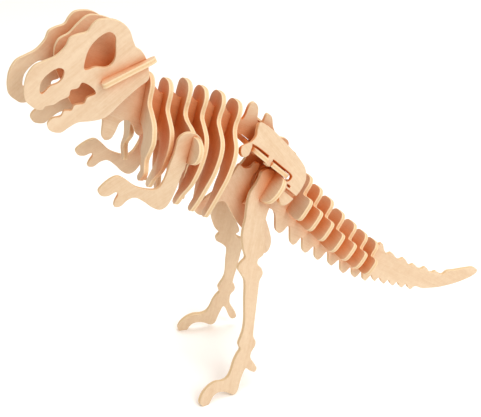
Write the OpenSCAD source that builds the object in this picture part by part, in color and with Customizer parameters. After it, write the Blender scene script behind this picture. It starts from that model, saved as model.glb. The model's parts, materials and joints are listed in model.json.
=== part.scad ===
// Flat-pack dinosaur skeleton: plywood plates that slide together in half-lap slots.
// Head towards -X, tail towards +X, left side towards -Y, feet on Z = 0. Millimetres.

/* [Plywood] */
// Thickness of every plate
ply = 3; // [2.8:0.1:3.2]
// Play on each side of a slot
play = 0.06; // [0.04:0.01:0.1]
// Straight pieces that stand for each curved stretch between two outline points
curve_steps = 4; // [2:1:6]

/* [Head] */
// Half the distance between the two skull sides, at the snout
skull_gap = 11.8; // [10:0.2:14]
// Angle by which each skull side closes in towards the snout
skull_toe = 5; // [0:0.5:6]
// Rise of the skull bar towards the back of the head
bar_rise = 20.5; // [19:0.5:23]
// Angle by which the skull bar sits askew in its slots, right end forwards
bar_skew = 6; // [0:0.5:7]
// How far the right skull side sits ahead of the left one
skull_lead = 5.4; // [0:0.2:6]

/* [Arms] */
// Distance of each arm from the middle plane
arm_gap = 29.3; // [28:0.1:30]
// Outward lean of each arm, towards the hand
arm_splay = 2; // [0:0.5:4]
// Angle by which the right arm is lowered at the elbow from the left one
arm_drop = 8; // [0:0.5:9]

/* [Legs] */
// Distance of each leg from the middle plane, at the shin
leg_gap = 25.8; // [24:0.2:28]
// Outward lean of each leg, towards the foot
leg_splay = 11; // [9:0.5:12]
// Angle by which each foot turns outwards
leg_toe_out = 9; // [6:0.5:10]
// Angle by which the right leg swings back from the left one
leg_stride = 7; // [0:0.5:8]

/* [Pelvis] */
// Slope of the pelvis and the hip shelf, falling towards the tail
pelvis_slope = 43.6; // [42:0.2:45]
// Inward lean of the two ilium plates
ilium_lean = 25; // [22:1:27]
// Distance of each ilium from the middle plane, at the shelf
ilium_gap = 15; // [14.5:0.1:15.5]

/* [Hidden] */

left = -1;
right = 1;
slot_w = ply + 2 * play;
lap_gap = 0.08;         // each slot goes this much past the middle of its crossing
far_off = 60;           // longer than any slot, so that a cut runs out of the plate
wood = [0.93, 0.79, 0.62];

// Shift from the drawing's own origin to the middle of the footprint
origin_shift = [2.02, 0.17, -3.2];

// ---- Outlines -------------------------------------------------------------

// Catmull-Rom point between b and c
function between(a, b, c, d, t) =
    0.5 * (2 * b + (c - a) * t + (2 * a - 5 * b + 4 * c - d) * t * t
           + (3 * b - a - 3 * c + d) * t * t * t);

// Closed smooth curve through the points
function smooth(p) = [
    for (i = [0 : len(p) - 1], s = [0 : curve_steps - 1])
        between(p[(i + len(p) - 1) % len(p)], p[i], p[(i + 1) % len(p)],
                p[(i + 2) % len(p)], s / curve_steps)
];

// Right half of an outline, from top to bottom, with its mirror image added
function mirrored(half) = concat(
    half,
    [for (i = [len(half) - 1 : -1 : 0]) if (half[i][0] > 0.01) [-half[i][0], half[i][1]]]
);

backbone_line = [
    [-136, 221], [-135.5, 227], [-132.5, 232], [-127, 234.5], [-122, 239], [-116, 243],
    [-110, 242.5], [-103, 239.5], [-97, 234], [-93, 226], [-91, 217], [-89, 209],
    [-86, 203.5], [-82, 201], [-79.5, 197.5], [-76.5, 194], [-71.5, 195], [-68.5, 193],
    [-65.7, 190], [-61, 191.5], [-58, 189.5], [-55.5, 186.5], [-50.5, 187.5],
    [-47.5, 185.5], [-45, 182], [-40, 183], [-37.5, 180], [-35, 176], [-31, 175.5],
    [-28, 171.5], [-25.5, 173.5], [-22.5, 179.8], [-19, 181], [-17, 177], [-17.6, 170],
    [-15.5, 166], [-13.5, 168], [-11, 172.5], [-8, 170.4], [-7, 163.5], [-4.4, 158],
    [-1.4, 156], [1.8, 154.8], [3.6, 152], [3.2, 148], [4.8, 145.8], [7.6, 145.4],
    [9.2, 142.6], [8.8, 138.8], [10.8, 136.6], [13.8, 135.6], [14, 132], [12, 129],
    [8, 127.6], [0, 135.6], [-8, 143.2], [-17, 151.8], [-25, 159.6], [-29, 162.5],
    [-32, 159.5], [-36, 160], [-41, 153], [-45.5, 151.3], [-48, 157], [-50.5, 163.5],
    [-54, 159.5], [-58, 158], [-60.5, 164], [-63.5, 168], [-67, 164.5], [-70.5, 165],
    [-73, 172], [-76, 173.5], [-79, 167], [-82, 167], [-84.2, 173], [-87, 175.5],
    [-90, 171], [-93, 172], [-95, 178], [-98.5, 181.5], [-102.5, 180], [-105, 175.5],
    [-108, 171.5], [-111.5, 171], [-113, 174], [-112, 181], [-112, 187], [-116, 190.5],
    [-122, 191.5], [-128, 194], [-131, 201], [-133.5, 209], [-135.5, 215]
];

tail_line = [
    [-16.4, 136.6], [-12.5, 138.6], [-8.4, 136.8], [-4, 132.8], [0, 129], [3.5, 125.5],
    [7, 121.5], [11, 117.7], [14.3, 115], [16, 110.5], [18.5, 108], [22.3, 106],
    [24.3, 101.5], [26.5, 98.6], [30.5, 96], [32.5, 91.5], [35, 87.8], [39.7, 86],
    [42, 81.5], [44.5, 78.6], [48.8, 77], [51, 72.5], [53.5, 69.7], [57.5, 68.5],
    [60, 65], [62.5, 62.6], [67, 63.8], [70.5, 63], [73, 66.5], [76, 66.8], [77.6, 61.5],
    [80.5, 57.8], [84, 58], [87.5, 53.8], [90.5, 51.2], [94.3, 51.6], [97, 47.6],
    [99.5, 44.8], [102.8, 45], [106, 41.6], [109, 39.8], [112.8, 40.5], [115.8, 36.6],
    [118.6, 34.8], [121.8, 35.4], [124.5, 33], [128, 31.4], [131.5, 33.4], [138, 32.8],
    [146.5, 32.4], [153.5, 31.6], [157, 29], [155.2, 26.2], [149.5, 24], [139, 22.2],
    [127, 21.8], [118, 22.8], [111, 24], [107, 26.2], [104.2, 27], [101.6, 25.4],
    [99.5, 26.8], [98, 30], [96.2, 30.2], [94, 28.4], [92.2, 29.8], [90.6, 33.2],
    [88.8, 33.4], [86.7, 31.6], [84.8, 33.2], [83.2, 36.6], [81.4, 36.6], [79.2, 34.7],
    [77.3, 36.6], [75.8, 40.2], [73.8, 40.2], [71.6, 38.4], [70, 41], [68.6, 43.8],
    [66.6, 42.4], [64.3, 40.4], [62.4, 42], [61.8, 46.6], [60.2, 48.2], [58.2, 46.2],
    [55.8, 44.8], [54, 47], [53.4, 51.8], [51.6, 53.4], [49, 51.2], [46.4, 50.2],
    [44.6, 53], [44.2, 59.5], [42.4, 61.2], [39.6, 59.2], [37, 58], [35.2, 61],
    [34.8, 67.5], [33, 69.4], [29.5, 65.8], [26.5, 64.6], [24.8, 67.5], [24.6, 73.5],
    [23, 75.3], [19.7, 72.6], [17, 72], [15.4, 75], [15.2, 82], [13.8, 83.8],
    [10.7, 80.4], [8, 79.7], [6.4, 83], [6, 92.3], [4.3, 94], [0.8, 90.8], [-2.3, 90.4],
    [-4.2, 94], [-4.5, 103], [-6.6, 107.6], [-10.2, 110.5], [-13, 117], [-15.6, 121.5],
    [-19, 123.5], [-20, 127.5], [-18.6, 132]
];

skull_line = [
    [-155.6, 207], [-155, 212], [-153, 217.5], [-149, 222.2], [-143.5, 224.2],
    [-137.5, 226.3], [-132, 230.8], [-129.3, 235.3], [-125, 237], [-120, 238],
    [-117, 241.5], [-113, 244], [-106, 243.5], [-101, 241], [-97.5, 237], [-96, 231.5],
    [-94.5, 227.5], [-91.5, 225], [-89.3, 220.5], [-88.2, 214], [-88.8, 208.8],
    [-94.5, 205], [-104, 197.5], [-113, 190], [-121, 188.5], [-128.5, 188.5],
    [-134, 186], [-138.5, 183.7], [-143.8, 185.4], [-145, 189.3], [-142, 192.3],
    [-137.5, 193], [-135.3, 195.9], [-131.5, 195.8], [-129.5, 198.5], [-124.6, 199],
    [-122.4, 202.2], [-117.8, 204], [-120, 208], [-124.5, 210.8], [-127, 208],
    [-131, 207.2], [-132.3, 203.9], [-137, 202], [-140.6, 200], [-145, 199.6],
    [-146.6, 197.8], [-150, 198.3], [-152.6, 200.5], [-155, 203.3]
];

eye_line = [
    [-123, 218], [-122.5, 222], [-120, 228.3], [-116.5, 232.6], [-111.8, 236],
    [-108, 237], [-105.3, 234.3], [-105.4, 229], [-105.8, 223.8], [-107.8, 219.8],
    [-111.5, 217.8], [-117, 218.6], [-120.5, 217.7]
];

nostril_line = [
    [-147.3, 209], [-145.5, 214], [-141, 218], [-136.5, 219.9], [-133.7, 218.5],
    [-134.5, 214.5], [-137.5, 211.7], [-141.5, 210.4], [-144.5, 207.8], [-146.6, 206.7]
];

arm_line = [
    [-78.6, 173], [-77.2, 177], [-74, 179.6], [-70, 180], [-66, 178.2], [-63.5, 174.5],
    [-63.7, 170], [-66, 166], [-70.5, 162], [-74.8, 158.2], [-77.2, 153.5],
    [-79.6, 148], [-82.8, 141.8], [-86, 137.8], [-90, 136.6], [-94.5, 139],
    [-98.5, 142.8], [-103.5, 146.2], [-108, 145.4], [-112, 142.4], [-115.6, 142.7],
    [-115, 146], [-113, 149.5], [-114.4, 151.2], [-118.5, 149.6], [-122.4, 150.3],
    [-123.8, 153.3], [-121, 156.5], [-116, 159.6], [-112, 160.2], [-108, 157.4],
    [-103, 152.8], [-97, 150.2], [-91.5, 149.3], [-88, 151.5], [-85.4, 156],
    [-82.6, 163], [-80, 168.8]
];

leg_line = [
    [-17, 137], [-15.2, 140.2], [-11.8, 141.2], [-8, 139.6], [-4.5, 136], [-3.2, 131],
    [-5.5, 126], [-9, 121.5], [-12.4, 117], [-15, 112.4], [-17, 107], [-18.3, 98],
    [-18.8, 91], [-20.6, 87.7], [-24, 86], [-24.8, 83], [-22.4, 79.6], [-22, 75.6],
    [-24.8, 71.8], [-26.6, 65], [-29.4, 53.6], [-31.8, 44], [-33.2, 37], [-32, 33.3],
    [-32.8, 30], [-35.8, 26.8], [-36.8, 23], [-34.6, 18.5], [-33.2, 14.8], [-35, 12.8],
    [-38, 14.6], [-41, 17.2], [-44.3, 13], [-46.8, 8], [-48.8, 3.8], [-52, 2.6],
    [-57, 6.2], [-62, 7.6], [-66, 6.2], [-69.6, 2], [-73, 1.6], [-75.3, 5],
    [-73, 9.8], [-68.5, 13.4], [-63, 15], [-58, 14.2], [-54, 15.2], [-51, 19],
    [-48.6, 24], [-45.8, 28], [-43, 31], [-43.7, 35], [-41.6, 38.8], [-39.4, 43],
    [-37.6, 50], [-36.2, 62.5], [-34.7, 74], [-36.6, 79.5], [-38.6, 84.4], [-35.6, 87.4],
    [-32.6, 89.6], [-33.3, 95], [-33.3, 103], [-31.6, 109], [-29.6, 114], [-27.6, 122],
    [-25, 128.6], [-20.8, 132.8]
];

keel_line = [
    [-29, 142.5], [-26, 139.8], [-21.8, 139.4], [-18.4, 142], [-15.8, 140.8],
    [-16.8, 137], [-20.4, 132.8], [-21.9, 127.5], [-20.5, 121.7], [-17.2, 117.5],
    [-14, 110], [-11, 101.5], [-8.2, 92], [-7.2, 84.5], [-9.6, 78.4], [-13.6, 78],
    [-17.2, 83.5], [-23, 92.5], [-29.5, 101.5], [-34.5, 110.5], [-37.5, 117],
    [-40.5, 119.8], [-44.5, 119], [-47.5, 115.6], [-51, 112.6], [-55.4, 113],
    [-58.4, 116], [-57, 119.8], [-50.5, 124.3], [-42, 129], [-35, 134.8], [-31.5, 139.5]
];

// Ilium in the pelvis frame: x runs down the slope, y runs up the leaning plate
ilium_line = [
    [-21, 16], [-16, 17.2], [-10, 17.4], [-3, 16.8], [5, 16], [12, 14.9], [18, 13.6],
    [23, 11.8], [26.4, 8.6], [28, 4.5], [27.7, -1.5], [26.2, -7.5], [23.8, -13.2],
    [21, -16.8], [17.6, -16.8], [14.6, -14.2], [14.4, -9.5], [14.4, -4],
    [16, -2.6], [17.4, 0], [16.4, 2.2], [10, 2.5], [-17, 2.5], [-18.6, 0],
    [-18.3, -5], [-20.6, -8], [-24, -7], [-25, -3.5], [-22.6, 0], [-20.2, 3.2],
    [-19.2, 7.5], [-20.6, 11.5]
];

// Hip shelf in the pelvis frame, seen from above
shelf_line = [
    [-17.6, 5], [-16.6, 14], [-12.6, 17.6], [-7, 18.2], [2, 18.2], [11.6, 17.6],
    [15.6, 14], [16.6, 5], [16.6, -5], [15.6, -14], [11.6, -17.6], [2, -18.2],
    [-7, -18.2], [-12.6, -17.6], [-16.6, -14], [-17.6, -5]
];

// Hip plate, seen from the front and hanging from the shelf's underside
hip_line = mirrored([
    [0, -1.7], [8, -1.7], [16, -1.9], [20.4, -3.2], [23.4, -7], [24.6, -13], [22.8, -18.4],
    [17, -21.4], [10.5, -21.8], [5.4, -24], [4.4, -28], [2.6, -30.4], [0, -30.8]
]);

// Long slot at the rear of an ilium and the small eye above it, each [x, y, length, height]
ilium_cuts = [[16.6, -9.4, 14, 2.6], [16.2, -5.6, 3, 1.6]];

// Skull bar in its own frame: x runs to the back of the head, y across it. A finger on
// each end runs along the outside of a skull side.
bar_half = [
    [8, 0], [8, 10], [8.2, 15], [9.4, 18], [12.4, 18.8], [14, 20.2], [13.2, 22],
    [9, 22.4], [0, 21.6], [-12, 20.6], [-17, 20.2], [-18.4, 18.2], [-17, 15.6],
    [-15.4, 9], [-15, 0]
];
bar_line = [
    for (p = bar_half) p,
    for (i = [len(bar_half) - 2 : -1 : 1]) [bar_half[i][0], -bar_half[i][1]]
];

// ---- Plates and where they stand ------------------------------------------

// Plate along the body, drawn in x and z
module lengthwise(line)
    rotate([90, 0, 0]) linear_extrude(height = ply, center = true) polygon(smooth(line));

// Plate across the body, drawn in y and z
module crosswise(line)
    rotate([90, 0, 90]) linear_extrude(height = ply, center = true) polygon(smooth(line));

// Everything in the drawing's coordinates is moved onto the footprint's middle
module on_feet() translate(origin_shift) children();

// Crossing of a cross plate with the middle plane: place [x, z] and lean to the tail
module at_station(s) translate([s[0], 0, s[1]]) rotate([0, s[2], 0]) children();

// Room for a cross plate, from v_low to v_high along its own height
module cross_room(v_low, v_high, half = far_off)
    translate([-slot_w / 2, -half, v_low]) cube([slot_w, 2 * half, v_high - v_low]);

// Room for the middle plate, from v_low to v_high in a cross plate's frame
module middle_room(v_low, v_high)
    translate([-far_off / 2, -slot_w / 2, v_low]) cube([far_off, slot_w, v_high - v_low]);

// Swing about a point of the drawing, then lean out and turn; side is left or right
module stance(side, pivot, gap, splay, turn, swing = 0, forward = 0)
    translate([pivot[0] - forward, side * gap, pivot[1]])
    rotate([0, 0, side * turn]) rotate([side * splay, 0, 0]) rotate([0, swing, 0])
    translate([-pivot[0], 0, -pivot[1]]) children();

skull_pivot = [-138, 207];
arm_pivot = [-108, 147];
leg_pivot = [-33, 62];
leg_back = 7.5;         // how far back the right leg stands
leg_lift = 3.8;         // how much higher the right leg hangs
skull_drop = 2.2;       // how much lower the right skull side sits
skull_nod = 1.6;        // and how far its snout is raised, in degrees

function only_right(side, value) = side == right ? value : 0;

module skull_place(side)
    translate([0, 0, -only_right(side, skull_drop)])
    stance(side, skull_pivot, skull_gap, 0, skull_toe,
           -only_right(side, skull_nod), only_right(side, skull_lead)) children();

module arm_place(side)
    stance(side, arm_pivot, arm_gap, arm_splay, 2, only_right(side, arm_drop)) children();

module leg_place(side)
    translate([0, 0, only_right(side, leg_lift)])
    stance(side, leg_pivot, leg_gap, leg_splay, -leg_toe_out,
           -only_right(side, leg_stride), -only_right(side, leg_back)) children();

// ---- Stations along the spine and the tail ---------------------------------

// [x, z, lean, half width, depth below the lap, half gap between the tips]
ribs = [
    [-86.9, 190.6, 13, 27, 42, 14],
    [-76.5, 185.6, 14.5, 26, 47.5, 3],
    [-66, 182.2, 16, 29, 53.5, 3],
    [-56, 178.6, 17.5, 27, 55, 4],
    [-45.8, 174.3, 19, 26, 56, 7],
    [-35.8, 167.9, 20, 22, 56, 6]
];

// [x, z, lean, half width, body height, tab height] of each tail vertebra
vertebrae = [
    [12, 117, 34, 19.4, 14.6, 12.8],
    [19.4, 107.8, 34.5, 19.4, 14.2, 12.6],
    [27.9, 98.4, 35, 19, 13.8, 12.2],
    [36.5, 87.8, 35.5, 18.4, 13.4, 12],
    [46, 78.6, 36, 17.6, 12.8, 11.6],
    [55, 69.8, 36.5, 16.8, 12.4, 11.2],
    [63.8, 62.2, 37, 16, 12, 10.8]
];
tail_lap = 6.6;         // depth of each slot in the tail's top edge

bar_station = [-100, 215.1, -bar_rise];

// Along the pelvis slope x runs down it, and heights are measured from the hip shelf's middle
pelvis_centre = [-14, 146];
shelf_gap = 0.1;        // air under and over the shelf
shelf_under = -ply / 2 - shelf_gap;
hip_x = 12;             // where the hip plate stands
hip_tab_y = 8.2;        // its two tabs, which come up through the shelf
hip_tab_half = 3;
leg_lap = -11.5;        // lap of leg and hip plate
tail_hook = -9.5;       // lap of tail plate and hip plate
keel_hook = -22;        // lap of keel and hip plate
spine_tenon_x = [-13, -5];
shelf_slot_x = -23.6;   // front end of the backbone's slot for the shelf
ilium_tenon_x = [-5, -1];
ilium_notch_y = 12.4;   // where the shelf's notch for an ilium's tenon begins

module pelvis_frame()
    translate([pelvis_centre[0], 0, pelvis_centre[1]]) rotate([0, pelvis_slope, 0])
    children();

module hip_station() pelvis_frame() translate([hip_x, 0, 0]) children();

module bar_frame() at_station(bar_station) rotate([0, 0, bar_skew]) children();

// Room for the skull bar from its lap rearwards
module bar_room()
    bar_frame() translate([-lap_gap, -far_off, -slot_w / 2])
    cube([far_off, 2 * far_off, slot_w]);

// Room for a plate that was drawn lengthwise, around a point [x, z] of its drawing
module plate_room(point)
    translate([point[0] - far_off, -slot_w / 2, point[1] - far_off])
    cube([2 * far_off, slot_w, 2 * far_off]);

// ---- Spine and head --------------------------------------------------------

// Tenon of the backbone through the hip shelf, or its mortise when extra is the play
module spine_tenon(extra)
    pelvis_frame()
    translate([spine_tenon_x[0] - extra, -ply / 2 - extra, -ply - extra])
    cube([spine_tenon_x[1] - spine_tenon_x[0] + 2 * extra, ply + 2 * extra,
          2.3 * ply + 2 * extra]);

// Room for the hip shelf, from x_low to x_high down the slope
module shelf_room(x_low, x_high)
    pelvis_frame() translate([x_low, -ply, shelf_under])
    cube([x_high - x_low, 2 * ply, ply + 2 * shelf_gap]);

module backbone()
    color(wood) on_feet() difference() {
        union() {
            lengthwise(backbone_line);
            spine_tenon(0);
        }
        for (s = ribs) at_station(s) cross_room(-lap_gap, far_off);
        bar_room();
        shelf_room(shelf_slot_x, spine_tenon_x[0]);
        shelf_room(spine_tenon_x[1], far_off);
    }

module skull_side(side)
    color(wood) on_feet() difference() {
        skull_place(side) rotate([90, 0, 0])
            linear_extrude(height = ply, center = true) difference() {
                polygon(smooth(skull_line));
                polygon(smooth(eye_line));
                polygon(smooth(nostril_line));
            }
        bar_room();
    }

module skull_left() skull_side(left);
module skull_right() skull_side(right);

module skull_bar()
    color(wood) on_feet() difference() {
        bar_frame() linear_extrude(height = ply, center = true) polygon(smooth(bar_line));
        intersection() {
            bar_frame() translate([lap_gap - far_off, -far_off, -far_off / 2])
                cube([far_off, 2 * far_off, far_off]);
            union() {
                plate_room(bar_station);
                for (side = [left, right]) skull_place(side) plate_room(bar_station);
            }
        }
    }

// ---- Ribs, shoulder and arms -----------------------------------------------

// Rounded lobe above the spine and the narrow waist, right half
function rib_lobe(top) = [
    [0, top], [5.2, top - 0.8], [8.6, top - 4], [9.2, 8.8], [8.8, 5], [10, 1]
];

// Arch from the inner side of the tip up to the middle, right half
function rib_inside(w, d, tip) = [
    [tip, -d + 2], [tip + 0.16 * w, -0.78 * d], [0.44 * w, -0.6 * d],
    [0.46 * w, -0.44 * d], [0.3 * w, -0.31 * d], [0, -0.27 * d]
];

function rib_line(w, d, tip) = mirrored(concat(
    rib_lobe(17),
    [[0.62 * w, -2.6], [0.88 * w, -7], [w, -14], [0.97 * w, -0.45 * d],
     [0.8 * w, -0.66 * d], [tip + 0.36 * w, -0.84 * d], [tip + 4.6, -d + 1],
     [tip + 2, -d]],
    rib_inside(w, d, tip)
));

function shoulder_line(d, tip) = mirrored(concat(
    rib_lobe(19),
    [[15, -1.4], [21, -2.4], [26, -3.6], [31, -5], [37, -4.8], [42, -6.6], [44.4, -11],
     [42.4, -16], [37.5, -19.4], [31, -21.2], [26.4, -22.6], [23.4, -27], [21.4, -34],
     [17.4, -42], [tip + 6, -d + 4], [tip + 2.4, -d]],
    rib_inside(24, d, tip)
));

module rib(i)
    color(wood) on_feet() at_station(ribs[i]) difference() {
        crosswise(rib_line(ribs[i][3], ribs[i][4], ribs[i][5]));
        middle_room(-far_off, lap_gap);
    }

module rib_1() rib(0);
module rib_2() rib(1);
module rib_4() rib(3);
module rib_5() rib(4);
module rib_6() rib(5);

shoulder = ribs[2];
arm_lap = -12.5;        // lap of arm and shoulder plate, along the shoulder plate

// Room for an arm where it crosses the shoulder plate
module arm_room(side)
    intersection() {
        arm_place(side) plate_room(shoulder);
        at_station(shoulder) translate([-far_off / 2, -far_off, arm_lap - lap_gap])
            cube([far_off, 2 * far_off, far_off]);
    }

module shoulder_plate()
    color(wood) on_feet() difference() {
        at_station(shoulder) difference() {
            crosswise(shoulder_line(shoulder[4], shoulder[5]));
            middle_room(-far_off, lap_gap);
        }
        arm_room(left);
        arm_room(right);
    }

module arm(side)
    color(wood) on_feet() difference() {
        arm_place(side) lengthwise(arm_line);
        at_station(shoulder) cross_room(-far_off, arm_lap + lap_gap);
    }

module arm_left() arm(left);
module arm_right() arm(right);

// ---- Pelvis ----------------------------------------------------------------

// Frame of a leaning ilium plate, which stands on the shelf's edge
module ilium_frame(side)
    pelvis_frame() translate([0, side * ilium_gap, 0]) rotate([side * ilium_lean, 0, 0])
    children();

// Tab of the hip plate through the shelf, or its mortise when extra is the play
module hip_tab(side, extra)
    translate([-ply / 2 - extra, side * hip_tab_y - hip_tab_half - extra, -ply - extra])
    cube([ply + 2 * extra, 2 * (hip_tab_half + extra), 2.2 * ply + 2 * extra]);

// Notch in the shelf's edge for the tenon of an ilium
module ilium_notch(side)
    pelvis_frame() mirror([0, side == left ? 1 : 0, 0])
    translate([ilium_tenon_x[0] - play, ilium_notch_y, -ply])
    cube([ilium_tenon_x[1] - ilium_tenon_x[0] + 2 * play, far_off, 2 * ply]);

module hip_shelf()
    color(wood) on_feet() difference() {
        pelvis_frame() linear_extrude(height = ply, center = true)
            polygon(smooth(shelf_line));
        spine_tenon(play);
        for (side = [left, right]) {
            hip_station() hip_tab(side, play);
            ilium_notch(side);
        }
    }

module hip_plate()
    color(wood) on_feet() difference() {
        hip_station() union() {
            crosswise(hip_line);
            for (side = [left, right]) hip_tab(side, 0);
        }
        hip_station() middle_room(tail_hook - lap_gap, far_off);
        hip_station() middle_room(-far_off, keel_hook + lap_gap);
        for (side = [left, right]) leg_room(side);
    }

// Room for a leg where it crosses the hip plate
module leg_room(side)
    intersection() {
        leg_place(side) plate_room(pelvis_centre);
        hip_station() translate([-far_off / 2, -far_off, leg_lap + lap_gap - far_off])
            cube([far_off, 2 * far_off, far_off]);
    }

module tail_plate()
    color(wood) on_feet() difference() {
        lengthwise(tail_line);
        for (s = vertebrae) at_station(s) cross_room(-tail_lap - lap_gap, far_off);
        hip_station() cross_room(-far_off, tail_hook + lap_gap);
    }

module pelvis_keel()
    color(wood) on_feet() difference() {
        lengthwise(keel_line);
        hip_station() cross_room(keel_hook - lap_gap, far_off);
    }

module ilium(side)
    color(wood) on_feet() ilium_frame(side) rotate([90, 0, 0]) difference() {
        union() {
            linear_extrude(height = ply, center = true) polygon(smooth(ilium_line));
            translate([ilium_tenon_x[0], -2.6, -ply / 2])
                cube([ilium_tenon_x[1] - ilium_tenon_x[0], 8, ply]);
        }
        for (cut = ilium_cuts)
            translate([cut[0], cut[1], -ply]) cube([cut[2], cut[3], 2 * ply]);
    }

module ilium_left() ilium(left);
module ilium_right() ilium(right);

// ---- Legs ------------------------------------------------------------------

// The right leg is the left one with its thigh further forward, its knee lower and its
// spur lower. Each change is full at one height and fades out above and below it.
thigh_forward = 9;
thigh_height = 103;
knee_drop = 7;
knee_height = 80;
spur_drop = 9;
spur_height = 13;
spur_front = -40;       // the spur lies behind this

function fade(z, height, reach) = max(0, 1 - pow((z - height) / reach, 2));

function lower_kneed(line) = [
    for (p = line) [
        p[0] - thigh_forward * fade(p[1], thigh_height, 22),
        p[1] - knee_drop * fade(p[1], knee_height, 40)
             - (p[0] > spur_front ? spur_drop * fade(p[1], spur_height, 14) : 0)
    ]
];

// Everything under the ground, so that each foot ends in a flat
module below_ground()
    translate([-2 * far_off, -far_off, -far_off - origin_shift[2]])
    cube([2 * far_off, 2 * far_off, far_off]);

// Everything from just under the hip shelf upwards
module above_shelf()
    pelvis_frame() translate([-far_off / 2, -far_off / 2, shelf_under - shelf_gap])
    cube([far_off, far_off, far_off / 2]);

module leg(side)
    color(wood) on_feet() difference() {
        leg_place(side) lengthwise(side == left ? leg_line : lower_kneed(leg_line));
        hip_station() cross_room(leg_lap - lap_gap, far_off);
        below_ground();
        above_shelf();
    }

module leg_left() leg(left);
module leg_right() leg(right);

// ---- Tail ------------------------------------------------------------------

function vertebra_line(w, body, tab) = mirrored([
    [0, tab - 0.5], [4.4, tab - 1], [7, tab - 3.8], [7.4, 4], [8.4, 0.9], [w - 4, 1.2],
    [w - 0.8, 0.2], [w, -3.4], [w - 0.4, 3.4 - body], [w - 3, 0.4 - body],
    [w - 8, -body], [0, -body]
]);

module tail_vertebra(i)
    color(wood) on_feet() at_station(vertebrae[i]) difference() {
        crosswise(vertebra_line(vertebrae[i][3], vertebrae[i][4], vertebrae[i][5]));
        middle_room(-far_off, -tail_lap + lap_gap);
    }

module tail_vertebra_1() tail_vertebra(0);
module tail_vertebra_2() tail_vertebra(1);
module tail_vertebra_3() tail_vertebra(2);
module tail_vertebra_4() tail_vertebra(3);
module tail_vertebra_5() tail_vertebra(4);
module tail_vertebra_6() tail_vertebra(5);
module tail_vertebra_7() tail_vertebra(6);

backbone();
tail_plate();
skull_left();
skull_right();
skull_bar();
rib_1();
rib_2();
shoulder_plate();
rib_4();
rib_5();
rib_6();
arm_left();
arm_right();
hip_shelf();
hip_plate();
pelvis_keel();
ilium_left();
ilium_right();
leg_left();
leg_right();
tail_vertebra_1();
tail_vertebra_2();
tail_vertebra_3();
tail_vertebra_4();
tail_vertebra_5();
tail_vertebra_6();
tail_vertebra_7();
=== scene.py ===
# %% [markdown]
# # A plywood dinosaur skeleton that slots together
# The skeleton is cut from one sheet of 3 mm plywood. Every piece is a flat plate, and half-lap slots hold
# the plates to each other without glue. The engineering model gives the exact plates, so this script keeps
# their outlines and adds what the saw and the sandpaper leave: soft corners, wood grain, plies and tone.

# %% Load the plates
import json
import math
import bmesh
import bpy
from mathutils import Matrix, Vector


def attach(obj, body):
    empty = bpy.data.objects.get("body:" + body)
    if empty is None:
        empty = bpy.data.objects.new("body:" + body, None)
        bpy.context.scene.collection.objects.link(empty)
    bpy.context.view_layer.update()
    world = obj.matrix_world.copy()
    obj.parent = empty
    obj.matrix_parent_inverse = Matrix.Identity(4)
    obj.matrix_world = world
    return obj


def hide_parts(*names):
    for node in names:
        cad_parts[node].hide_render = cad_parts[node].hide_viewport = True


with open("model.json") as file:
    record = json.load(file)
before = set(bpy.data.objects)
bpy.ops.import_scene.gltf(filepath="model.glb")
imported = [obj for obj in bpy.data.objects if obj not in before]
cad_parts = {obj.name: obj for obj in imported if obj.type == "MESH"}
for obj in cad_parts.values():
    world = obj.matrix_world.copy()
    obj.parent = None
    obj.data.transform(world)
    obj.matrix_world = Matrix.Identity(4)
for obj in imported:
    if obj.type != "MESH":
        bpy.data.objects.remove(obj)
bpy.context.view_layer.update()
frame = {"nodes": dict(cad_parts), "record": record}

MM = 0.001

# %% [markdown]
# ## Camera
# A camera is placed by three facts: what it looks at, how far away it stands, and how long its lens is.
# Azimuth and elevation turn it round the target, as on a turntable.

# %% Place the camera
CAMERA_AZIMUTH = math.radians(-22)
CAMERA_ELEVATION = math.radians(26)
CAMERA_DISTANCE = 0.600
CAMERA_TARGET = Vector((-0.026, 0.0, 0.1088))
LENS = 71.85

away = Vector((
    math.sin(CAMERA_AZIMUTH) * math.cos(CAMERA_ELEVATION),
    -math.cos(CAMERA_AZIMUTH) * math.cos(CAMERA_ELEVATION),
    math.sin(CAMERA_ELEVATION),
))
camera_data = bpy.data.cameras.new("camera")
camera_data.lens = LENS
camera_data.sensor_width = 36
camera = bpy.data.objects.new("camera", camera_data)
camera.location = CAMERA_TARGET + away * CAMERA_DISTANCE
camera.rotation_euler = (-away).to_track_quat("-Z", "Y").to_euler()
bpy.context.scene.collection.objects.link(camera)
bpy.context.scene.camera = camera
print("camera at", [round(v, 3) for v in camera.location])

# %% [markdown]
# ## Floor and light
# A large pale floor and three soft lamps make a plain studio. Area lamps are big for the small object,
# so their shadows fade out. The key lamp stands high on the camera's side, and the weaker lamps fill.

# %% Make the floor
FLOOR_SIZE = 8.0


def add_floor():
    mesh = bpy.data.meshes.new("floor")
    half = FLOOR_SIZE / 2
    mesh.from_pydata([(-half, -half, 0), (half, -half, 0), (half, half, 0), (-half, half, 0)],
                     [], [(0, 1, 2, 3)])
    floor = bpy.data.objects.new("floor", mesh)
    bpy.context.scene.collection.objects.link(floor)
    material = bpy.data.materials.new("floor_paper")
    material.use_nodes = True
    shader = material.node_tree.nodes["Principled BSDF"]
    shader.inputs["Base Color"].default_value = (0.96, 0.96, 0.96, 1)
    shader.inputs["Roughness"].default_value = 0.9
    mesh.materials.append(material)
    return floor


floor = add_floor()
print("floor:", FLOOR_SIZE, "m wide")

# %% Hang the lamps
def add_lamp(name, place, aim, size, power, color):
    data = bpy.data.lights.new(name, "AREA")
    data.shape = "DISK"
    data.size = size
    data.energy = power
    data.color = color
    lamp = bpy.data.objects.new(name, data)
    lamp.location = place
    lamp.rotation_euler = (Vector(aim) - Vector(place)).to_track_quat("-Z", "Y").to_euler()
    bpy.context.scene.collection.objects.link(lamp)


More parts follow.
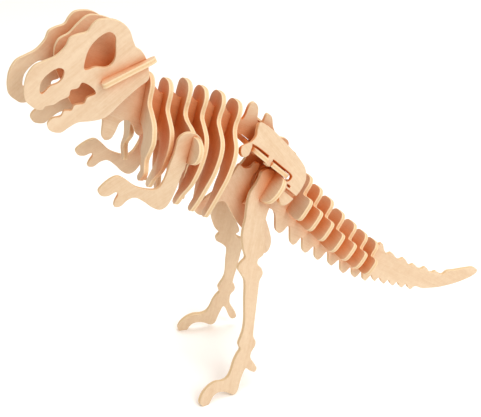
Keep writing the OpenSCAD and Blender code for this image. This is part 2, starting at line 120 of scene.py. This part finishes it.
add_lamp("key", (0.3, -1.05, 0.95), (0, 0, 0.12), 0.8, 9, (0.97, 0.985, 1.0))
add_lamp("overhead", (0.35, 0.1, 1.7), (0, 0, 0.1), 1.8, 15.5, (0.98, 0.99, 1.0))
add_lamp("fill", (-1.1, -0.35, 0.5), (-0.05, 0, 0.14), 0.8, 0.6, (1.0, 0.93, 0.85))

world = bpy.data.worlds.new("studio")
world.use_nodes = True
world.node_tree.nodes["Background"].inputs["Color"].default_value = (1.0, 0.92, 0.83, 1)
world.node_tree.nodes["Background"].inputs["Strength"].default_value = 0.80
bpy.context.scene.world = world
bpy.context.scene.view_settings.view_transform = "Standard"

# %% [markdown]
# ## Soft corners
# A saw leaves square corners, and a light sanding takes them off. A bevel of a third of a millimetre
# catches the light along every outline. The plates arrive as loose triangles, so a copy is welded first
# and its flat faces are joined, and then the bevel runs only along the plate's true corners.

# %% Round one plate
CORNER = 0.32 * MM      # width of the sanded corner
WELD = 0.002 * MM       # points closer than this are one point
FLAT = math.radians(0.3)
SHARP = math.radians(50)
FACE_WEIGHT = 80        # how strongly the big flat faces set the shading next to them


def welded_copy(node):
    work = bmesh.new()
    work.from_mesh(node.data)
    bmesh.ops.remove_doubles(work, verts=work.verts, dist=WELD)
    bmesh.ops.dissolve_degenerate(work, edges=work.edges, dist=WELD)
    bmesh.ops.dissolve_limit(work, angle_limit=FLAT, verts=work.verts, edges=work.edges)
    mesh = bpy.data.meshes.new(node.name + "_wood")
    work.to_mesh(mesh)
    work.free()
    return mesh


def sanded(node):
    raw = bpy.data.objects.new(node.name + "_raw", welded_copy(node))
    bpy.context.scene.collection.objects.link(raw)
    raw.data.polygons.foreach_set("use_smooth", [True] * len(raw.data.polygons))
    bevel = raw.modifiers.new("sanding", "BEVEL")
    bevel.width = CORNER
    bevel.segments = 2
    bevel.limit_method = "ANGLE"
    bevel.angle_limit = SHARP
    bevel.miter_outer = "MITER_ARC"
    bevel.use_clamp_overlap = True
    crisp = raw.modifiers.new("crisp", "WEIGHTED_NORMAL")
    crisp.weight = FACE_WEIGHT
    bpy.context.view_layer.update()
    made = bpy.data.meshes.new_from_object(
        raw.evaluated_get(bpy.context.evaluated_depsgraph_get()))
    bpy.data.objects.remove(raw)
    made.name = node.name + "_wood"
    return made


test = sanded(frame["nodes"]["arm_left"])
print("arm_left after sanding:", len(test.polygons), "faces")
bpy.data.meshes.remove(test)

# %% [markdown]
# ## The plate's own directions
# Grain runs along a plate, plies lie through its thickness, and both turn with the plate. So each plate
# measures itself: the direction of its big faces is its normal, and its longest direction in that plane is
# the grain. Four attributes carry the answer to the material: `plate`, the place along the grain, across
# it and through the plies; `cut_edge`, which is 1 on the sawn edge and 0 on the face; `tone`, which makes
# one plate a little lighter than the next; and `painted_shade_weight`, how strongly the painted shade
# between
# plates is laid on: 0 at the feet, where the pale floor throws clean light back, and 1 among the other
# plates.

# %% Measure a plate
ROUNDS = 60             # repeats that let a direction settle


def plate_directions(mesh):
    spread = [[0.0] * 3 for _ in range(3)]
    for face in mesh.polygons:
        for i in range(3):
            for j in range(3):
                spread[i][j] += face.area * face.normal[i] * face.normal[j]
    spread = Matrix(spread)
    normal = Vector((0.3, 0.9, 0.2))
    for _ in range(ROUNDS):
        normal = (spread @ normal).normalized()
    middle = sum((v.co for v in mesh.vertices), Vector()) / len(mesh.vertices)
    along = normal.orthogonal().normalized()
    for _ in range(ROUNDS):
        pulled = Vector()
        for vertex in mesh.vertices:
            offset = vertex.co - middle
            pulled += offset * offset.dot(along)
        along = (pulled - normal * pulled.dot(normal)).normalized()
    return normal, along, normal.cross(along), middle


for name in ("tail_plate", "rib_4", "leg_left"):
    normal, along, across, middle = plate_directions(frame["nodes"][name].data)
    print(name, "normal", [round(v, 2) for v in normal], "grain", [round(v, 2) for v in along])

# %% Write the attributes
GOLDEN = 0.618034       # steps that never repeat, to give each plate its own cut of the sheet
FACE_LEAN = 0.97        # a face turned this squarely to the plate's normal is veneer
EDGE_LEAN = 0.47        # and one turned no more than this is sawn edge
# Heights over which the painted shade on the legs fades in.
NO_PAINTED_SHADE_BELOW = 30 * MM    # the legs stand clear of other plates up to here
FULL_PAINTED_SHADE_ABOVE = 110 * MM


def write_attributes(mesh, node, number):
    normal, along, across, middle = plate_directions(node.data)
    heights = [v.co.dot(normal) for v in node.data.vertices]
    core = (min(heights) + max(heights)) / 2
    cut = Vector((0.37 * number, 0.23 * number, 0.0))
    plate = mesh.attributes.new("plate", "FLOAT_VECTOR", "POINT")
    for vertex, slot in zip(mesh.vertices, plate.data):
        offset = vertex.co - middle
        slot.vector = cut + Vector((offset.dot(along), offset.dot(across),
                                    vertex.co.dot(normal) - core))
    edge = mesh.attributes.new("cut_edge", "FLOAT", "FACE")
    for face, slot in zip(mesh.polygons, edge.data):
        lean = abs(face.normal.dot(normal))
        slot.value = min(1.0, max(0.0, (FACE_LEAN - lean) / (FACE_LEAN - EDGE_LEAN)))
    tone = mesh.attributes.new("tone", "FLOAT", "POINT")
    tone.data.foreach_set("value", [(number * GOLDEN) % 1.0] * len(mesh.vertices))
    painted_shade_weight = mesh.attributes.new("painted_shade_weight", "FLOAT", "POINT")
    # How much painted shade each point gets: none low on the legs, rising to full higher up, and full on
    # every other plate.
    for vertex, slot in zip(mesh.vertices, painted_shade_weight.data):
        rise = (vertex.co.z - NO_PAINTED_SHADE_BELOW) / (FULL_PAINTED_SHADE_ABOVE - NO_PAINTED_SHADE_BELOW)
        slot.value = min(1.0, max(0.0, rise)) if node.name.startswith("leg") else 1.0


print("attributes: plate, cut_edge, tone, shelter")

# %% [markdown]
# ## Wood as node groups
# Two finishes meet on every plate. The face is rotary-cut veneer with a fine, stretched grain, and the sawn
# edge shows three plies with thin glue lines. Each is a node group that puts out a colour and a height, and
# a third group paints shade into the colour: it darkens the wood towards orange where plates sit close
# together, in place of the shade and the warm bounced light between pale plates.

# %% Helpers for node groups
def new_group(name, inputs, outputs):
    group = bpy.data.node_groups.new(name, "ShaderNodeTree")
    for label, kind, value in inputs:
        socket = group.interface.new_socket(label, in_out="INPUT", socket_type=kind)
        if value is not None:
            socket.default_value = value
    for label, kind in outputs:
        group.interface.new_socket(label, in_out="OUTPUT", socket_type=kind)
    return group, group.nodes.new("NodeGroupInput"), group.nodes.new("NodeGroupOutput")


def add_node(tree, kind, links=None, **settings):
    node = tree.nodes.new(kind)
    for key, value in settings.items():
        setattr(node, key, value)
    for key, source in (links or {}).items():
        if isinstance(source, bpy.types.NodeSocket):
            tree.links.new(source, node.inputs[key])
        else:
            node.inputs[key].default_value = source
    return node


def ramp(tree, factor, stops):
    node = add_node(tree, "ShaderNodeValToRGB", {"Fac": factor})
    elements = node.color_ramp.elements
    while len(elements) < len(stops):
        elements.new(0.5)
    for element, (position, color) in zip(elements, stops):
        element.position = position
        element.color = color
    return node.outputs["Color"]


def blend(tree, kind, factor, first, second):
    node = tree.nodes.new("ShaderNodeMix")
    node.data_type = "RGBA"
    node.blend_type = kind
    for socket, source in ((node.inputs[0], factor), (node.inputs[6], first), (node.inputs[7], second)):
        if isinstance(source, bpy.types.NodeSocket):
            tree.links.new(source, socket)
        else:
            socket.default_value = source
    return node.outputs[2]


print("helpers ready")

# %% Veneer on the faces
def make_veneer():
    tree, given, result = new_group(
        "veneer_grain",
        [("Plate", "NodeSocketVector", None), ("Tone", "NodeSocketFloat", 0.5),
         ("Pale", "NodeSocketColor", (0.67, 0.525, 0.37, 1)),
         ("Dark", "NodeSocketColor", (0.60, 0.435, 0.285, 1))],
        [("Color", "NodeSocketColor"), ("Height", "NodeSocketFloat"),
         ("Roughness", "NodeSocketFloat")])
    place = given.outputs["Plate"]
    stretched = add_node(tree, "ShaderNodeMapping", {"Vector": place, "Scale": (14.0, 160.0, 14.0)})
    cloudy = add_node(tree, "ShaderNodeTexNoise",
                      {"Vector": stretched.outputs[0], "Scale": 0.9, "Detail": 5.0, "Roughness": 0.55,
                       "Distortion": 0.6})
    fine = add_node(tree, "ShaderNodeMapping", {"Vector": place, "Scale": (110.0, 2600.0, 400.0)})
    fibres = add_node(tree, "ShaderNodeTexNoise",
                      {"Vector": fine.outputs[0], "Scale": 1.0, "Detail": 3.0, "Roughness": 0.6})
    mottle = add_node(tree, "ShaderNodeTexNoise",
                      {"Vector": place, "Scale": 380.0, "Detail": 3.0, "Roughness": 0.6})
    figure = add_node(tree, "ShaderNodeMath",
                      {0: cloudy.outputs[0], 1: 0.42}, operation="MULTIPLY")
    figure = add_node(tree, "ShaderNodeMath",
                      {0: fibres.outputs[0], 1: 0.32, 2: figure.outputs[0]}, operation="MULTIPLY_ADD")
    figure = add_node(tree, "ShaderNodeMath",
                      {0: mottle.outputs[0], 1: 0.26, 2: figure.outputs[0]}, operation="MULTIPLY_ADD")
    spread = add_node(tree, "ShaderNodeMapRange",
                      {"Value": figure.outputs[0], "From Min": 0.40, "From Max": 0.60})
    wood = blend(tree, "MIX", spread.outputs[0], given.outputs["Dark"], given.outputs["Pale"])
    shade = ramp(tree, given.outputs["Tone"],
                 [(0.0, (0.94, 0.925, 0.90, 1)), (0.5, (1.0, 1.0, 1.0, 1)), (1.0, (1.05, 1.045, 1.03, 1))])
    toned = blend(tree, "MULTIPLY", 1.0, wood, shade)
    pores = add_node(tree, "ShaderNodeMapping", {"Vector": place, "Scale": (260.0, 3400.0, 260.0)})
    pore = add_node(tree, "ShaderNodeTexVoronoi", {"Vector": pores.outputs[0], "Scale": 1.0})
    pore_mask = add_node(tree, "ShaderNodeMapRange",
                         {"Value": pore.outputs["Distance"], "From Min": 0.0, "From Max": 0.22,
                          "To Min": 0.35, "To Max": 0.0})
    flecked = blend(tree, "MULTIPLY", pore_mask.outputs[0], toned, (0.80, 0.66, 0.52, 1))
    tree.links.new(flecked, result.inputs["Color"])
    height = add_node(tree, "ShaderNodeMath",
                      {0: fibres.outputs[0], 1: pore_mask.outputs[0]}, operation="SUBTRACT")
    tree.links.new(height.outputs[0], result.inputs["Height"])
    rough = add_node(tree, "ShaderNodeMapRange",
                     {"Value": figure.outputs[0], "From Min": 0.3, "From Max": 0.7,
                      "To Min": 0.66, "To Max": 0.54})
    tree.links.new(rough.outputs[0], result.inputs["Roughness"])
    return tree


veneer_grain = make_veneer()
print("veneer_grain:", len(veneer_grain.nodes), "nodes")

# %% Plies on the sawn edges
PLY_THICKNESS = 3.0 * MM


def make_plies():
    tree, given, result = new_group(
        "sawn_plies",
        [("Plate", "NodeSocketVector", None), ("Thickness", "NodeSocketFloat", PLY_THICKNESS),
         ("Veneer", "NodeSocketColor", (0.70, 0.55, 0.355, 1)),
         ("Core", "NodeSocketColor", (0.64, 0.465, 0.275, 1)),
         ("Glue", "NodeSocketColor", (0.60, 0.38, 0.18, 1))],
        [("Color", "NodeSocketColor"), ("Height", "NodeSocketFloat")])
    parts = add_node(tree, "ShaderNodeSeparateXYZ", {0: given.outputs["Plate"]})
    wander = add_node(tree, "ShaderNodeTexNoise",
                      {"Vector": given.outputs["Plate"], "Scale": 160.0, "Detail": 2.0})
    shift = add_node(tree, "ShaderNodeMapRange",
                     {"Value": wander.outputs[0], "To Min": -0.05, "To Max": 0.05})
    share = add_node(tree, "ShaderNodeMath",
                     {0: parts.outputs[2], 1: given.outputs["Thickness"]}, operation="DIVIDE")
    level = add_node(tree, "ShaderNodeMath", {0: share.outputs[0], 1: shift.outputs[0]}, operation="ADD")
    depth = add_node(tree, "ShaderNodeMath", {0: level.outputs[0]}, operation="ABSOLUTE")
    core = add_node(tree, "ShaderNodeMapRange",
                    {"Value": depth.outputs[0], "From Min": 0.15, "From Max": 0.19,
                     "To Min": 1.0, "To Max": 0.0})
    gap = add_node(tree, "ShaderNodeMath", {0: depth.outputs[0], 1: 0.17}, operation="SUBTRACT")
    gap = add_node(tree, "ShaderNodeMath", {0: gap.outputs[0]}, operation="ABSOLUTE")
    glue = add_node(tree, "ShaderNodeMapRange",
                    {"Value": gap.outputs[0], "From Min": 0.008, "From Max": 0.03,
                     "To Min": 0.55, "To Max": 0.0})
    fibres = add_node(tree, "ShaderNodeTexNoise",
                      {"Vector": given.outputs["Plate"], "Scale": 1700.0, "Detail": 2.0,
                       "Roughness": 0.7})
    coloured = blend(tree, "MIX", core.outputs[0], given.outputs["Veneer"], given.outputs["Core"])
    coloured = blend(tree, "MIX", glue.outputs[0], coloured, given.outputs["Glue"])
    speckle = ramp(tree, fibres.outputs[0],
                   [(0.3, (0.93, 0.91, 0.88, 1)), (0.7, (1.04, 1.03, 1.02, 1))])
    coloured = blend(tree, "MULTIPLY", 1.0, coloured, speckle)
    tree.links.new(coloured, result.inputs["Color"])
    height = add_node(tree, "ShaderNodeMath",
                      {0: fibres.outputs[0], 1: glue.outputs[0]}, operation="SUBTRACT")
    tree.links.new(height.outputs[0], result.inputs["Height"])
    return tree


sawn_plies = make_plies()
print("sawn_plies:", len(sawn_plies.nodes), "nodes")

# %% Painted shade between the plates
def make_painted_shade():
    tree, given, result = new_group(
        "painted_shade_between_plates",
        [("Color", "NodeSocketColor", None), ("Painted_shade_weight", "NodeSocketFloat", 1.0),
         ("Reach", "NodeSocketFloat", 0.018),
         ("Painted_shade_colour", "NodeSocketColor", (1.0, 0.38, 0.11, 1))],
        [("Color", "NodeSocketColor")])
    # Painted shade: ambient occlusion tints the base colour deep orange where plates sit close, in place of
    # the shade between them.
    shade = add_node(tree, "ShaderNodeAmbientOcclusion",
                     {"Distance": given.outputs["Reach"]}, samples=8)
    amount = add_node(tree, "ShaderNodeMapRange",
                      {"Value": shade.outputs["AO"], "From Min": 0.32, "From Max": 0.92,
                       "To Min": 1.0, "To Max": 0.0})
    amount = add_node(tree, "ShaderNodeMath",
                      {0: amount.outputs[0], 1: given.outputs["Painted_shade_weight"]}, operation="MULTIPLY")
    shaded_colour = blend(tree, "MULTIPLY", amount.outputs[0], given.outputs["Color"], given.outputs["Painted_shade_colour"])
    tree.links.new(shaded_colour, result.inputs["Color"])
    return tree


painted_shade_between_plates = make_painted_shade()
print("painted_shade_between_plates:", len(painted_shade_between_plates.nodes), "nodes")

# %% The plywood material
def place_group(tree, group, links):
    node = tree.nodes.new("ShaderNodeGroup")
    node.node_tree = group
    for key, source in links.items():
        tree.links.new(source, node.inputs[key])
    return node


def make_plywood():
    material = bpy.data.materials.new("plywood")
    material.use_nodes = True
    tree = material.node_tree
    shader = tree.nodes["Principled BSDF"]
    shader.inputs["Specular IOR Level"].default_value = 0.3
    plate = add_node(tree, "ShaderNodeAttribute", attribute_name="plate").outputs["Vector"]
    edge = add_node(tree, "ShaderNodeAttribute", attribute_name="cut_edge").outputs["Fac"]
    tone = add_node(tree, "ShaderNodeAttribute", attribute_name="tone").outputs["Fac"]
    painted_shade_weight = add_node(tree, "ShaderNodeAttribute", attribute_name="painted_shade_weight").outputs["Fac"]
    face = place_group(tree, veneer_grain, {"Plate": plate, "Tone": tone})
    sawn = place_group(tree, sawn_plies, {"Plate": plate})
    colour = blend(tree, "MIX", edge, face.outputs["Color"], sawn.outputs["Color"])
    # The painted shade between the plates is laid over the wood colour here.
    painted_shade = place_group(tree, painted_shade_between_plates, {"Color": colour, "Painted_shade_weight": painted_shade_weight})
    tree.links.new(painted_shade.outputs["Color"], shader.inputs["Base Color"])
    tree.links.new(face.outputs["Roughness"], shader.inputs["Roughness"])
    heights = add_node(tree, "ShaderNodeMix",
                       {0: edge, 2: face.outputs["Height"], 3: sawn.outputs["Height"]})
    bump = add_node(tree, "ShaderNodeBump", {"Height": heights.outputs[0], "Distance": 0.00005,
                                             "Strength": 0.5})
    tree.links.new(bump.outputs[0], shader.inputs["Normal"])
    return material


plywood = make_plywood()
print("plywood:", len(plywood.node_tree.nodes), "nodes")

# %% [markdown]
# ## All the plates
# Each plate gets the same treatment in one loop, and stands in for its engineering twin on the same body,
# so that it moves with the joint that pulls it out of its slot.

# %% Make every plate
body_of_node = {node: body for body, nodes in frame["record"]["behaviour"]["bodies"].items()
                for node in nodes}
total = 0
for number, (name, node) in enumerate(sorted(frame["nodes"].items())):
    mesh = sanded(node)
    write_attributes(mesh, node, number)
    mesh.materials.clear()
    mesh.materials.append(plywood)
    plate = bpy.data.objects.new(name + "_wood", mesh)
    bpy.context.scene.collection.objects.link(plate)
    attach(plate, body_of_node[name])
    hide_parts(name)
    total += sum(len(face.vertices) - 2 for face in mesh.polygons)
print("plates:", number + 1, "triangles:", total)
